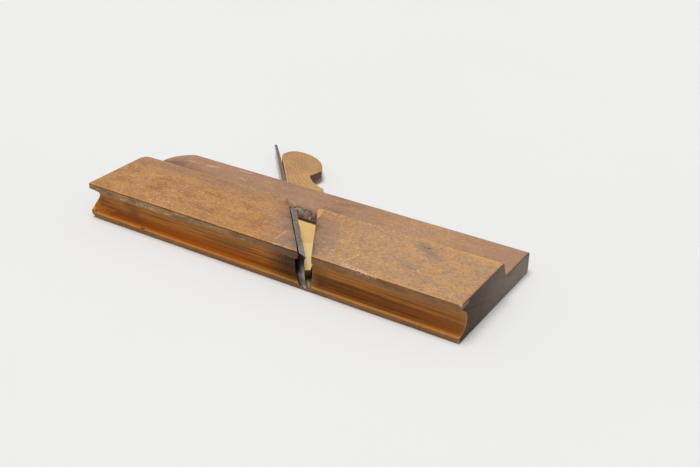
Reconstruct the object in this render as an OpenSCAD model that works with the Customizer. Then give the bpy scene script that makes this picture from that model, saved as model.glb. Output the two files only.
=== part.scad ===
// Wooden moulding plane: a stepped stock with a hollow sole, a profiled iron and a wedge.
// The plane lies on its blind side. Heel to toe runs along +X, sole to top along +Y,
// and the open escapement side faces +Z.

/* [Stock] */
// Length of the stock from heel to toe
stock_l = 241.3; // [200:0.1:280]
// Height of the stock from the sole to the top
stock_h = 84.5; // [75:0.5:95]
// Thickness of the wide lower part, from blind side to escapement side
stock_t = 22; // [20:0.5:30]
// Thickness of the grip above the step
grip_t = 12.7; // [11:0.1:15]
// Distance from the sole to the outer edge of the step
step_h = 48; // [42:0.5:54]
// Distance that the foot of the step lies above its outer edge
step_lean = 4; // [1:0.5:6]
// Radius of the corner where the step meets the heel
step_r = 5; // [1:0.5:8]
// Radius of the rounded heel of the grip
heel_r = 21; // [10:0.5:26]
// Chamfer along both top edges of the grip
grip_chamfer = 2.5; // [0.5:0.1:4]
// Chamfer across the top corner of the toe
toe_chamfer = 2; // [0.5:0.1:5]

/* [Sole] */
// Radius of the hollow that the plane cuts to
hollow_r = 7; // [5:0.1:8]
// Distance from the lips to the centre of the hollow
hollow_sink = 0.5; // [0:0.1:2]
// Thickness of the lip on the blind side
blind_lip = 3.4; // [2.5:0.1:4]

/* [Bed and throat] */
// Pitch of the bed above the sole, in degrees
pitch = 50; // [45:1:55]
// Distance from the heel to the foot of the bed
bed_x = 148.3; // [140:0.1:160]
// Width of the mouth in front of the iron
mouth_w = 3.3; // [2.5:0.1:5]
// Width of the mortise that holds the tang and the wedge
mortise_w = 5.3; // [4:0.1:6]
// Thickness of the grip wall below the mortise
mortise_floor = 2.75; // [2:0.05:3.5]
// Thickness of the cheek that closes the throat on the blind side
cheek = 1.5; // [1:0.1:1.9]
// Distance from the foot of the step to the roof of the throat
roof_rise = 2; // [1:0.5:5]
// Distance that the roof slopes back before it meets the face of the grip
roof_run = 5; // [2:0.5:8]

/* [Iron] */
// Thickness of the iron
iron_t = 3; // [2:0.1:4]
// Length of tang that stands out above the stock, along the bed
iron_rise = 69.5; // [50:0.5:75]
// Room along the bed between the shoulder of the blade and the roof of the throat
shoulder_room = 9; // [8.5:0.5:12]
// Length of the sloping shoulder between the blade and the tang
shoulder_l = 6; // [3:0.5:12]
// Distance from the escapement face in to the side of the blade
blade_inset = 1.4; // [0.1:0.1:2]
// Width at the blade's outer side over which the edge leaves the hollow and runs out straight to its corner
corner_w = 4; // [2:0.5:6]
// Thickness of the tang at its top end
tang_top_t = 1.6; // [1:0.1:2]
// Width of the tang at its top end
tang_top_w = 1.8; // [1:0.1:3]
// Length of the point at the top of the tang
tang_point_l = 16; // [5:0.5:25]
// Bevel of the cutting edge, in degrees
bevel = 30; // [25:1:35]
// Distance that the cutting edge stands proud of the sole
edge_out = 0.5; // [0:0.1:1]

/* [Wedge] */
// Taper of the wedge, in degrees
wedge_angle = 10; // [8:0.5:12]
// Length of the wedge's head above the stock, along the bed
head_rise = 54; // [46:0.5:60]
// Distance from the sole to the blunt tip, along the bed
wedge_tip = 8; // [5:0.5:15]
// Chamfer on the front corner of the tip
tip_chamfer = 1.2; // [0.3:0.1:2]
// Radius of the head's long front curve
head_r = 28; // [24:0.5:34]
// Radius of the curve between the head's top and its back
head_top_r = 8; // [4:0.5:10]
// Depth of the head from its back to the crest of its front curve
head_depth = 24.5; // [22:0.5:27]
// Distance from the top of the head to the striking notch
notch_drop = 39.5; // [36:0.5:42]
// Depth of the neck from the back of the wedge to the notch
neck_depth = 15; // [12:0.5:17]
// Radius of the curve from the notch out to the front of the wedge
neck_r = 33; // [25:0.5:40]
// Angle of the notch's striking face to the back of the wedge, in degrees
notch_angle = 53; // [40:1:70]

/* [Fits] */
// Gap beside the tang, the blade and the wedge
side_gap = 0.1; // [0.05:0.01:0.2]
// Gap on the bearing faces of the iron and the wedge
bearing_gap = 0.05; // [0.02:0.01:0.1]

/* [Hidden] */
$fn = 96;
// Length by which a cutting shape runs past the face that it opens
over = 2;
// Steps along the curved cutting edge
edge_steps = 28;
// Length that reaches past the wedge's head in every direction
head_reach = 3 * head_r;

step_foot = step_h + step_lean;
hollow_z = blind_lip + hollow_r;
mortise_roof = mortise_floor + mortise_w;
roof_y = step_foot + roof_rise;
wear = pitch + wedge_angle;
front_x = bed_x + (iron_t + bearing_gap) / sin(pitch);
wear_x = front_x + mouth_w;

// Lengths measured up the front face of the iron from the level of the sole
stock_top_u = stock_h / sin(pitch);
iron_l = stock_top_u + iron_rise;
shoulder_u = roof_y / sin(pitch) - shoulder_room;
blade_l = shoulder_u - shoulder_l;
wedge_l = stock_top_u + head_rise;
notch_u = wedge_l - notch_drop;

tang_low = mortise_floor + side_gap;
tang_high = mortise_roof - side_gap;
tang_mid = (tang_low + tang_high) / 2;
blade_low = cheek + side_gap;
blade_high = stock_t - blade_inset;

// Level of the sole, measured from the lips, at height z above the blind face
function sole_level(z) = abs(z - hollow_z) < hollow_r
    ? hollow_sink + sqrt(pow(hollow_r, 2) - pow(z - hollow_z, 2))
    : 0;

// Level of the cutting edge before it is set proud: the sole's, then straight out to the blade's outer corner
corner_z = blade_high - corner_w;
function edge_level(z) = z < corner_z
    ? sole_level(z)
    : sole_level(corner_z) * max(0, (blade_high - z) / corner_w);

// Distance from the iron's face to the front of the wedge, at length u up the iron
function wedge_front(u) = mouth_w * (sin(pitch) + cos(pitch) * tan(wedge_angle))
    + u * tan(wedge_angle) - bearing_gap;

// Moves from the heel and sole of the stock to the middle of its blind face
module in_part() {
    translate([-stock_l / 2, -stock_h / 2, 0]) children();
}

// Carries a profile drawn in Y and Z along the stock
module along_stock(from, to) {
    translate([from, 0, 0]) rotate([90, 0, 90]) linear_extrude(to - from) children();
}

// Frame on the iron's front face: X up the bed, Y into the bed, Z as in the part
module on_iron_face() {
    translate([front_x, 0, 0]) rotate([0, 0, 180 - pitch]) children();
}

// Outline of the grip seen from its side, with a rounded heel and a chamfered toe
module grip_outline() {
    polygon([
        [heel_r, 0],
        [stock_l, 0],
        [stock_l, stock_h - toe_chamfer],
        [stock_l - toe_chamfer, stock_h],
        [heel_r, stock_h]
    ]);
    square([2 * heel_r, stock_h - heel_r]);
    translate([heel_r, stock_h - heel_r]) circle(heel_r);
}

module grip_blank() {
    difference() {
        linear_extrude(grip_t) grip_outline();
        for (z = [0, grip_t])
            translate([stock_l / 2, stock_h, z]) rotate([45, 0, 0])
                cube([stock_l + 2 * over, grip_chamfer * sqrt(2), grip_chamfer * sqrt(2)], center = true);
    }
}

module wide_blank() {
    riser_angle = atan2(step_lean, stock_t - grip_t);
    riser_l = (stock_t - grip_t) / cos(riser_angle);
    difference() {
        along_stock(0, stock_l) polygon([
            [0, 0],
            [step_foot, 0],
            [step_foot, grip_t],
            [step_h, stock_t],
            [0, stock_t]
        ]);
        translate([0, step_h, stock_t]) rotate([riser_angle, 0, 0]) translate([0, 0, -riser_l - over])
            linear_extrude(riser_l + 2 * over) difference() {
                translate([-over, -step_r]) square(step_r + over);
                translate([step_r, -step_r]) circle(step_r);
            }
    }
}

module sole_hollow() {
    translate([-over, hollow_sink, hollow_z]) rotate([0, 90, 0])
        cylinder(r = hollow_r, h = stock_l + 2 * over);
    translate([-over, -over, blind_lip])
        cube([stock_l + 2 * over, over + hollow_sink, 2 * hollow_r]);
}

// Space between the bed and the wear: the mortise through the grip and the open throat
module throat() {
    low = -over;
    high = stock_h + over;
    intersection() {
        linear_extrude(stock_t + over) polygon([
            [bed_x - low / tan(pitch), low],
            [wear_x - low / tan(wear), low],
            [wear_x - high / tan(wear), high],
            [bed_x - high / tan(pitch), high]
        ]);
        union() {
            translate([0, low, mortise_floor]) cube([stock_l, high - low, mortise_w]);
            along_stock(0, stock_l) polygon([
                [low, cheek],
                [roof_y, cheek],
                [roof_y, mortise_roof],
                [roof_y + roof_run, grip_t],
                [roof_y + roof_run, stock_t + over],
                [low, stock_t + over]
            ]);
        }
    }
}

module stock() {
    color("peru") in_part() difference() {
        union() {
            grip_blank();
            wide_blank();
        }
        sole_hollow();
        throat();
    }
}

// Everything beyond the bevel: the edge's profile, set proud, swept along the bevel
module beyond_bevel() {
    reach = stock_t;
    z_step = (stock_t + 2 * over) / edge_steps;
    levels = [for (i = [0:edge_steps]) i * z_step - over];
    edge = [for (z = levels) [(edge_level(z) - edge_out) / sin(pitch) * sin(bevel), z]];
    rotate([0, 0, bevel - 90]) rotate([90, 0, 0]) translate([0, 0, -reach]) linear_extrude(2 * reach)
        polygon(concat([[-reach, -over]], edge, [[-reach, stock_t + over]]));
}

// Face of the iron: a wide blade, a sloping shoulder and a pointed tang
module iron_outline() {
    polygon([
        [-over, blade_low],
        [blade_l, blade_low],
        [shoulder_u, tang_low],
        [iron_l - tang_point_l, tang_low],
        [iron_l, tang_mid - tang_top_w / 2],
        [iron_l, tang_mid + tang_top_w / 2],
        [iron_l - tang_point_l, tang_high],
        [shoulder_u, tang_high],
        [blade_l, blade_high],
        [-over, blade_high]
    ]);
}

module iron() {
    color("dimgray") in_part() on_iron_face() difference() {
        translate([0, iron_t, 0]) rotate([90, 0, 0]) linear_extrude(iron_t) iron_outline();
        beyond_bevel();
        linear_extrude(stock_t) polygon([
            [stock_top_u, 0],
            [iron_l, iron_t - tang_top_t],
            [iron_l + over, iron_t - tang_top_t],
            [iron_l + over, -over],
            [stock_top_u, -over]
        ]);
    }
}

// Side view of the head: a long front curve and a tight top curve, cut off at the notch
module head_outline() {
    top = [wedge_l - head_top_r, bearing_gap + head_top_r];
    middle_v = head_depth - head_r;
    middle_u = top[0] - sqrt(pow(head_r - head_top_r, 2) - pow(top[1] - middle_v, 2));
    middle = [middle_u, middle_v];
    outward = (top - middle) / norm(top - middle);
    translate(top) circle(head_top_r);
    intersection() {
        translate(middle) circle(head_r);
        polygon([
            [notch_u, bearing_gap],
            [top[0], bearing_gap],
            top,
            middle + head_reach * outward,
            [notch_u, neck_depth] + head_reach * [cos(notch_angle), sin(notch_angle)],
            [notch_u, neck_depth]
        ]);
    }
}

// Side view of the tapered shank, hollowed at the neck below the notch
module shank_outline() {
    neck_u = notch_u - neck_r / 2;
    difference() {
        polygon([
            [wedge_tip, bearing_gap],
            [notch_u, bearing_gap],
            [notch_u, neck_depth],
            [neck_u, wedge_front(neck_u)],
            [wedge_tip + tip_chamfer, wedge_front(wedge_tip + tip_chamfer)],
            [wedge_tip, wedge_front(wedge_tip) - tip_chamfer]
        ]);
        translate([notch_u, neck_depth + neck_r]) circle(neck_r);
    }
}

module wedge() {
    color("burlywood") in_part() on_iron_face() translate([0, 0, tang_low])
        linear_extrude(tang_high - tang_low) mirror([0, 1, 0]) {
            shank_outline();
            head_outline();
        }
}

stock();
iron();
wedge();
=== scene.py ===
import math

import bpy
import numpy as np
from mathutils import Matrix, Vector


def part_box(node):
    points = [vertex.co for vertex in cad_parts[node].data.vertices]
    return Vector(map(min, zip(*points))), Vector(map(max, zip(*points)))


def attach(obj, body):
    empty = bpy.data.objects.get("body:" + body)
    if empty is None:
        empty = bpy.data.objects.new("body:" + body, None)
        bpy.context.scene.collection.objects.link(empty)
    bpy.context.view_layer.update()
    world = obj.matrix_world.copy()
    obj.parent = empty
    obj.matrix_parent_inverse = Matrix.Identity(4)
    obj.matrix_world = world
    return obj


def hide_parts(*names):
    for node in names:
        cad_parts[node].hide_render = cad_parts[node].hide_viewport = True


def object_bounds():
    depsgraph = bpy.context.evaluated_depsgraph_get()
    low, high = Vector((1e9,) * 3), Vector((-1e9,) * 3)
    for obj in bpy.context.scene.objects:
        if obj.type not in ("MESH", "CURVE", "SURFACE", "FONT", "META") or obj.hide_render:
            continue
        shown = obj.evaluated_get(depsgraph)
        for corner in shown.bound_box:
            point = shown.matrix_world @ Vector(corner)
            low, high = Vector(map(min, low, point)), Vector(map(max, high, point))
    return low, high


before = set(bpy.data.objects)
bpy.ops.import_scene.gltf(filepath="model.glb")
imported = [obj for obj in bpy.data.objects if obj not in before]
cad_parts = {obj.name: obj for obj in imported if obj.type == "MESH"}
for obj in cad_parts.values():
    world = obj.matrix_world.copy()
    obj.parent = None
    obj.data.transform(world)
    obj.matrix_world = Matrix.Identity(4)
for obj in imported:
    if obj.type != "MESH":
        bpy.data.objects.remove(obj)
cad_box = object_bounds()

# Sizes in millimetres, measured from the heel, the sole and the blind side of the stock
MM = 0.001
stock_low, stock_high = (np.array(corner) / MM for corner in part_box("stock"))
LENGTH, HEIGHT, THICK = stock_high - stock_low
iron_low, iron_high = (np.array(corner) / MM - stock_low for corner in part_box("iron"))
wedge_low, wedge_high = (np.array(corner) / MM - stock_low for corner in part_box("wedge"))

# Stock
GRIP_THICK = 12.7
STEP_EDGE = 48.0
STEP_LEAN = 4.0
STEP_R = 5.0
HEEL_R = 21.0
GRIP_CHAMFER = 2.5
LEAST_CHAMFER = 0.4
TOE_CHAMFER = 2.0
HOLLOW_R = 7.0
HOLLOW_SINK = 0.5
BLIND_LIP = 3.4
HOLLOW_Z = BLIND_LIP + HOLLOW_R
HOLLOW_TOP = HOLLOW_Z + HOLLOW_R
STEP_FOOT = STEP_EDGE + STEP_LEAN
RISER_ANGLE = math.atan2(STEP_LEAN, THICK - GRIP_THICK)

# Bed, wear and throat
PITCH = math.radians(50)
WEDGE_ANGLE = math.radians(10)
WEAR = PITCH + WEDGE_ANGLE
BED_X = 148.3
IRON_THICK = 3.0
BEARING_GAP = 0.05
MOUTH = 3.3
FRONT_X = BED_X + (IRON_THICK + BEARING_GAP) / math.sin(PITCH)
WEAR_X = FRONT_X + MOUTH
CHEEK = 1.5
MORTISE_LOW = 2.75
MORTISE_HIGH = 8.05
ROOF_Y = 54.0
ROOF_RUN = 5.0

# Wear of the throat: how deep it is at each place, and between which levels it comes in
ROOF_SAG = 0.8
ROOF_TOP = ROOF_Y + ROOF_RUN - ROOF_SAG
ROOF_ARCH = (4.1, 1.8)
ARCH_TOP = -0.3
ROOF_GAP = 0.45
ROOF_GAP_RUN = 6.0
BED_SLIT = 0.7
SLIT_LEVELS = (13.5, 16.5)
MOUTH_BREAK = 1.9
BREAK_RISE = (6.5, 1.0)
BREAK_LOW = (2.4, 4.4)
BREAK_HIGH = (17.2, 18.2)
BREAK_LOSS = 0.8
CHIP = 3.4
CHIP_LOW = 20.7
CHIP_RISE = (33, 47)
FLARE = 0.3
FACE_FLARE_FROM = 21.4
FACE_FLARE_RUN = 0.6
TOP_FLARE_RUN = 0.4

# Iron
IRON_RISE = 69.5
TOP_U = HEIGHT / math.sin(PITCH)
IRON_LENGTH = TOP_U + IRON_RISE
SHOULDER_DROP = 9.0
SHOULDER_RUN = 6.0
SHOULDER_U = ROOF_Y / math.sin(PITCH) - SHOULDER_DROP
BLADE_LENGTH = SHOULDER_U - SHOULDER_RUN
TANG_LOW, TANG_HIGH = wedge_low[2], wedge_high[2]
BLADE_LOW, BLADE_HIGH = iron_low[2], iron_high[2]
TANG_TOP_THICK = 1.6
TANG_TOP_WIDTH = 1.8
TANG_POINT = 16.0
BEVEL = math.radians(30)
EDGE_OUT = 0.5
CORNER_WIDTH = 4.0

# Wedge
HEAD_RISE = 54.0
WEDGE_LENGTH = TOP_U + HEAD_RISE
WEDGE_TIP = 8.0
TIP_CHAMFER = 0.75
TIP_RUN = 9.0
TIP_ROUND = 0.7
TIP_UNDERCUT = 2.0
UNDERCUT_RUN = 14.0
HEAD_R = 28.0
HEAD_TOP_R = 8.0
HEAD_DEPTH = 24.5
NOTCH_DROP = 39.5
NOTCH_U = WEDGE_LENGTH - NOTCH_DROP
NECK_DEPTH = 15.0
NECK_R = 33.0
NOTCH_ANGLE = math.radians(53)

# Rounding of the arrises by wear, and the angles in degrees above which an edge stays sharp
END_ROUND = 0.3
WEDGE_ROUND = 0.45
IRON_ROUND = 0.22
WOOD_SHARP = 32
IRON_SHARP = 35


# Shared arithmetic

def smooth(value, low, high):
    """Rises from 0 at low to 1 at high, level at both ends."""
    t = np.clip((value - low) / (high - low), 0, 1)
    return t * t * (3 - 2 * t)


def bump(value, middle, width):
    """Bell curve, 1 at the middle."""
    return np.exp(-((value - middle) / width) ** 2)


def near(first, second, reach):
    """Bell curve of a distance that is given by its two parts."""
    return bump(np.hypot(first, second), 0, reach)


def drift(x, step, seed):
    """Slow random change from -1 to 1 along the stock: random values every step, joined by smooth curves."""
    values = np.random.default_rng(seed).uniform(-1, 1, int(LENGTH / step) + 4)
    place = np.clip(x, 0, LENGTH) / step
    left = place.astype(int)
    t = smooth(place - left, 0, 1)
    return values[left] * (1 - t) + values[left + 1] * t


def to_part(points):
    """From the stock's heel, sole and blind side in millimetres to the part's frame in metres."""
    return (points + stock_low) * MM


def from_part(points):
    """From the part's frame in metres back to the stock's heel, sole and blind side in millimetres."""
    return points / MM - stock_low


def on_bed(u, v, z):
    """Points at length u up the iron's front face, v in front of it and height z, in stock millimetres."""
    x = FRONT_X - u * math.cos(PITCH) + v * math.sin(PITCH)
    y = u * math.sin(PITCH) + v * math.cos(PITCH)
    return np.stack([x, y, z + 0 * x], axis=-1)


def along_bed(x, y):
    """Parts of a run along and up the stock that go up the bed and out in front of it."""
    return y * math.sin(PITCH) - x * math.cos(PITCH), x * math.sin(PITCH) + y * math.cos(PITCH)


def bed_line(y):
    """Where the bed is along the stock, at height y."""
    return BED_X - y / math.tan(PITCH)


def wear_line(y):
    """Where the wear is along the stock, at height y."""
    return WEAR_X - y / math.tan(WEAR)


def sole_level(z):
    """Height of the sole above its lips at height z: the hollow's circle, or 0 beside it."""
    reach = np.sqrt(np.maximum(HOLLOW_R ** 2 - (z - HOLLOW_Z) ** 2, 0))
    return np.where(np.abs(z - HOLLOW_Z) < HOLLOW_R, HOLLOW_SINK + reach, 0)


def roof_level(z):
    """Height of the throat's sloping roof at height z, which sags a little."""
    rise = np.clip((z - MORTISE_HIGH) / (GRIP_THICK - MORTISE_HIGH), 0, None)
    return ROOF_Y - ROOF_SAG + ROOF_RUN * rise


# Mesh helpers

WELD_REACH = 0.002
CORNER_DRAW = 0.03


def grid_quads(rows, columns):
    """Quads between neighbouring rows and columns of a grid whose last column joins its first."""
    index = np.arange(rows * columns).reshape(rows, columns)
    beside = np.roll(index, -1, axis=1)
    quads = np.stack([index[:-1], beside[:-1], beside[1:], index[1:]], axis=-1)
    return quads.reshape(-1, 4).tolist()


def new_object(name, points, faces):
    """Mesh object at the origin from points in stock millimetres."""
    mesh = bpy.data.meshes.new(name)
    mesh.from_pydata(to_part(points.reshape(-1, 3)).tolist(), [], faces)
    mesh.update()
    piece = bpy.data.objects.new(name, mesh)
    bpy.context.scene.collection.objects.link(piece)
    return piece


def ring_solid(name, rings):
    """Closed solid from an array of rings by points: quads between the rings and a face on each end."""
    rows, columns = rings.shape[:2]
    faces = grid_quads(rows, columns)
    faces.append(list(range(columns))[::-1])
    faces.append(list(range((rows - 1) * columns, rows * columns)))
    return new_object(name, rings, faces)


def box_solid(name, block):
    """Closed solid from the outside of a block of points with three indices, its faces looking out."""
    index = np.arange(block[..., 0].size).reshape(block.shape[:3])
    sides = [
        index[0],
        index[-1][:, ::-1],
        index[:, 0][:, ::-1],
        index[:, -1],
        index[:, :, 0],
        index[:, :, -1][:, ::-1],
    ]
    faces = []
    for side in sides:
        quads = np.stack([side[:-1, :-1], side[:-1, 1:], side[1:, 1:], side[1:, :-1]], axis=-1)
        faces += quads.reshape(-1, 4).tolist()
    return new_object(name, block, faces)


def cut_away(piece, cutters):
    """Subtracts the cutters from the piece and keeps the result as a new mesh."""
    for cutter in cutters:
        cut = piece.modifiers.new("cut", "BOOLEAN")
        cut.operation = "DIFFERENCE"
        cut.solver = "EXACT"
        cut.object = cutter
    weld = piece.modifiers.new("weld", "WELD")
    weld.merge_threshold = WELD_REACH * MM
    graph = bpy.context.evaluated_depsgraph_get()
    whole = piece.data
    piece.data = bpy.data.meshes.new_from_object(piece.evaluated_get(graph))
    piece.modifiers.clear()
    piece.data.name = whole.name
    bpy.data.meshes.remove(whole)
    for cutter in cutters:
        bpy.data.meshes.remove(cutter.data)


def read_all(items, name, width=3, kind=np.float32):
    """One property of all vertices, face corners or faces of a mesh, as rows of the given width."""
    values = np.empty(len(items) * width, kind)
    items.foreach_get(name, values)
    return values.reshape(-1, width)


def face_corners(mesh):
    """Places in stock millimetres of every face's corners, drawn in a little, and their faces' normals."""
    vertex = read_all(mesh.loops, "vertex_index", 1, np.int32)[:, 0]
    count = read_all(mesh.polygons, "loop_total", 1, np.int32)[:, 0]
    corners = from_part(read_all(mesh.vertices, "co").astype(float))[vertex]
    middles = np.repeat(from_part(read_all(mesh.polygons, "center").astype(float)), count, axis=0)
    normals = np.repeat(read_all(mesh.polygons, "normal").astype(float), count, axis=0)
    return corners + CORNER_DRAW * (middles - corners), normals


def add_masks(mesh, masks):
    """Stores each mask as a number per face corner, which the materials read by name."""
    for name, values in masks.items():
        layer = mesh.attributes.new(name, "FLOAT", "CORNER")
        layer.data.foreach_set("value", np.clip(values, 0, 1).astype(np.float32))


def shade(piece, angle, material):
    """Smooth shading with sharp edges above the angle, in degrees, and one material."""
    piece.data.shade_smooth()
    piece.data.set_sharp_from_angle(angle=math.radians(angle))
    piece.data.materials.clear()
    piece.data.materials.append(material)


# Stock

# Points on its outline and places along it
ARC_STEPS = 5
LEAST_R = 0.03
HOLLOW_STEPS = 36
HOLLOW_JOIN = 0.25
STEEPEST_JOIN = 0.9
RUN_POINTS = [2, 60, 1, 5, 1, 22, 7, 36, 9]
HEEL_RINGS = 30
END_RINGS = 6
END_GAP = 0.8
STATION_GAP = 1.25
LEAST_GAP = 0.02
CAP_INSETS = [0.6, 0.45]
CAP_BOW = 0.025

# Radii of the corners and their drift along the stock
CORNER_RADII = [1.0, 0.55, 0.5, 0.5, 0.6, 0.7, 0.45, 0.36, 0.4, 0.42]
RADIUS_DRIFT = [0.1] + [0.3] * 8 + [0.1]
DRIFT_STEP = 14
DRIFT_SEED = 40

# Wear at the heel: how much, and how far along the stock it runs out
BLIND_ROUND = (2.2, 7)
RIM_ROUND = (0.85, 16)
LIP_LIFT = (1.9, 6)
LIP_THIN = (1.1, 12)
HEEL_FILL = (3.2, 20)

# The same wear round the hollow: from which cosine of the sweep to which it comes in
LIFT_SWEEP = (0.2, -0.95)
THIN_SWEEP = (0.2, 0.95)
FILL_SWEEP = (0.15, -0.85)

# Nicks: arrises by their y and z with the way into the wood, and two at the toe with reach and depth
NICKS = 46
NICK_SEED = 11
NICK_END = 4
NICK_REACH = (0.9, 2.4)
NICK_DEPTH = (0.05, 0.26)
NICKED_ARRISES = [
    ((0, THICK), (1, -1)),
    ((STEP_EDGE, THICK), (-1, -1)),
    ((0, HOLLOW_TOP), (1, 1)),
    ((0, 0), (1, 1)),
]
TOE_NICKS = [
    ((LENGTH, 0, THICK), (-0.6, 0.5, -0.6), 1.5, 0.6),
    ((LENGTH, 1.0, HOLLOW_TOP), (-0.8, 0.4, 0.4), 1.3, 0.5),
]

# Cutters
CUT_BELOW = 3
THROAT_ROWS = 60
THROAT_COLUMNS = 21
THROAT_LEVELS = np.array([
    CHEEK, 2.4, 3.4, 4.5, 5.6, 7, MORTISE_HIGH, 9.2, 10.4, 11.6, GRIP_THICK - 0.3, GRIP_THICK,
    13.6, 14.8, 16, 16.8, 17.4, 18.2, 19.6, CHIP_LOW, 21.3, 21.7, THICK, THICK + 0.6,
])
MORTISE_OVERLAP = 0.3
MORTISE_IN = 0.02


def top_level(x):
    """Height of the grip along the stock: a quarter circle at the heel and a chamfer at the toe."""
    rise = np.sqrt(np.maximum(HEEL_R ** 2 - np.clip(HEEL_R - x, 0, HEEL_R) ** 2, 0))
    return HEIGHT - HEEL_R + rise - np.clip(x - (LENGTH - TOE_CHAMFER), 0, TOE_CHAMFER)


def step_shift(x):
    """How far the step draws back towards the sole where its corner is rounded at the heel."""
    rise = np.sqrt(np.maximum(STEP_R ** 2 - np.clip(STEP_R - x, 0, STEP_R) ** 2, 0))
    return (rise - STEP_R) / math.cos(RISER_ANGLE)


def at_heel(x, size, run):
    """A size that is full at the heel and runs out along the stock."""
    return size * smooth(x, run, 0)


def left_of(direction):
    """Directions turned by a quarter turn to the left."""
    return np.stack([-direction[..., 1], direction[..., 0]], axis=-1)


def turned(direction, angle):
    """Directions turned to the left by an angle."""
    return np.cos(angle)[..., None] * direction + np.sin(angle)[..., None] * left_of(direction)


def unit(vector):
    """Vectors scaled to a length of 1."""
    return vector / np.linalg.norm(vector, axis=-1, keepdims=True)


def corner_arc(before, corner, after, radius, inset):
    """Arc tangent to the two runs that meet in a corner, after both runs have moved in by the inset."""
    d_in = unit(corner - before)
    d_out = unit(after - corner)
    n_in, n_out = -left_of(d_in), -left_of(d_out)
    share = 1 + np.sum(n_in * n_out, axis=-1, keepdims=True)
    corner = corner - inset[:, None] * (n_in + n_out) / share
    cross = d_in[:, 0] * d_out[:, 1] - d_in[:, 1] * d_out[:, 0]
    turn = np.arctan2(cross, np.sum(d_in * d_out, axis=-1))
    hand = np.sign(turn)
    radius = np.maximum(radius - hand * inset, LEAST_R)
    start = corner - (radius * np.tan(np.abs(turn) / 2))[:, None] * d_in
    centre = start + (radius * hand)[:, None] * left_of(d_in)
    angles = turn[:, None] * np.linspace(0, 1, ARC_STEPS + 1)
    return centre[:, None] - (radius * hand)[:, None, None] * left_of(turned(d_in[:, None], angles))


def run_between(start, end, count, bow):
    """Points spaced evenly between two ends, without the ends, on a run that is bowed inwards."""
    t = np.linspace(0, 1, count + 2)[1:-1, None]
    inward = left_of(end - start)[:, None]
    return start[:, None] * (1 - t) + end[:, None] * t + bow[:, None, None] * 4 * t * (1 - t) * inward


def stock_outline(x, inset):
    """Cross-section of the stock at each x, going round from the blind lip: the blind face, the chamfered
    top, the grip face, the step's riser, the wide face, the lips and the hollow. Every corner is an arc whose
    radius drifts along the length, as wear leaves it."""
    flat = 0 * x
    top = top_level(x)
    chamfer = np.maximum(top - (HEIGHT - GRIP_CHAMFER), LEAST_CHAMFER)
    shift = step_shift(x)
    lift = at_heel(x, *LIP_LIFT)
    thin = at_heel(x, *LIP_THIN)
    corners = [
        (0, 0),
        (top - chamfer, 0),
        (top, chamfer),
        (top, GRIP_THICK - chamfer),
        (top - chamfer, GRIP_THICK),
        (STEP_FOOT + shift, GRIP_THICK),
        (STEP_EDGE + shift, THICK),
        (0, THICK),
        (0, HOLLOW_TOP + thin),
        (0, BLIND_LIP + lift),
    ]
    points = [np.stack([y + flat, z + flat], axis=-1) for y, z in corners]
    sizes = list(CORNER_RADII)
    sizes[0] = sizes[0] + at_heel(x, *BLIND_ROUND)
    sizes[-1] = sizes[-1] + at_heel(x, *RIM_ROUND)
    wander = [1 + most * drift(x, DRIFT_STEP, DRIFT_SEED + k) for k, most in enumerate(RADIUS_DRIFT)]
    radii = [size * factor for size, factor in zip(sizes, wander)]
    # The hollow rises straight up from its two corners, which are the last ones
    before = points[-1:] + points[:-1]
    after = points[1:] + points[:1]
    after[-2] = points[-2] + (1, 0)
    before[-1] = points[-1] + (1, 0)
    arcs = [corner_arc(b, p, a, r, inset) for b, p, a, r in zip(before, points, after, radii)]
    reach = (HOLLOW_R + inset)[:, None]
    joins = np.stack([arcs[-2][:, -1, 0], arcs[-1][:, 0, 0]], axis=-1) + HOLLOW_JOIN - HOLLOW_SINK
    upper, lower = np.arcsin(np.clip(joins / reach, 0, STEEPEST_JOIN)).T[..., None]
    sweep = upper + (np.pi - lower - upper) * np.linspace(0, 1, HOLLOW_STEPS)
    side = np.cos(sweep)
    fill = at_heel(x, *HEEL_FILL)[:, None] * np.sin(sweep) * smooth(side, *FILL_SWEEP)
    rise = lift[:, None] * smooth(side, *LIFT_SWEEP) + thin[:, None] * smooth(side, *THIN_SWEEP)
    hollow_y = HOLLOW_SINK + reach * np.sin(sweep) - fill
    hollow = np.stack([hollow_y, HOLLOW_Z + reach * side + rise], axis=-1)
    bow = CAP_BOW * np.clip(inset - END_ROUND, 0, None)
    runs = [run_between(arcs[k - 1][:, -1], arcs[k][:, 0], count, bow) for k, count in enumerate(RUN_POINTS)]
    pieces = [arcs[0]]
    for run, arc in zip(runs[1:], arcs[1:-1]):
        pieces += [run, arc]
    pieces += [hollow, arcs[-1], runs[0]]
    return np.concatenate(pieces, axis=1)


def stock_stations():
    """Places along the stock and how far the outline is drawn in there: close together where the heel curves
    and where the ends are rounded over, with rings drawn further in to finish the flat ends."""
    heel = HEEL_R * (1 - np.cos(np.linspace(0, np.pi / 2, HEEL_RINGS)))
    middle = np.arange(HEEL_R + STATION_GAP, LENGTH - TOE_CHAMFER, STATION_GAP)
    turn = END_ROUND * (1 - np.cos(np.linspace(0, np.pi / 2, END_RINGS)))
    single = [END_GAP, LENGTH - END_GAP, LENGTH - TOE_CHAMFER]
    places = np.sort(np.concatenate([heel, middle, turn, LENGTH - turn, single]))
    places = places[np.concatenate([[True], np.diff(places) > LEAST_GAP])]
    short = np.clip(END_ROUND - np.minimum(places, LENGTH - places), 0, END_ROUND)
    inset = END_ROUND - np.sqrt(END_ROUND ** 2 - short ** 2)
    x = np.concatenate([[0] * len(CAP_INSETS), places, [LENGTH] * len(CAP_INSETS)])
    return x, np.concatenate([CAP_INSETS, inset, CAP_INSETS[::-1]])


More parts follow.
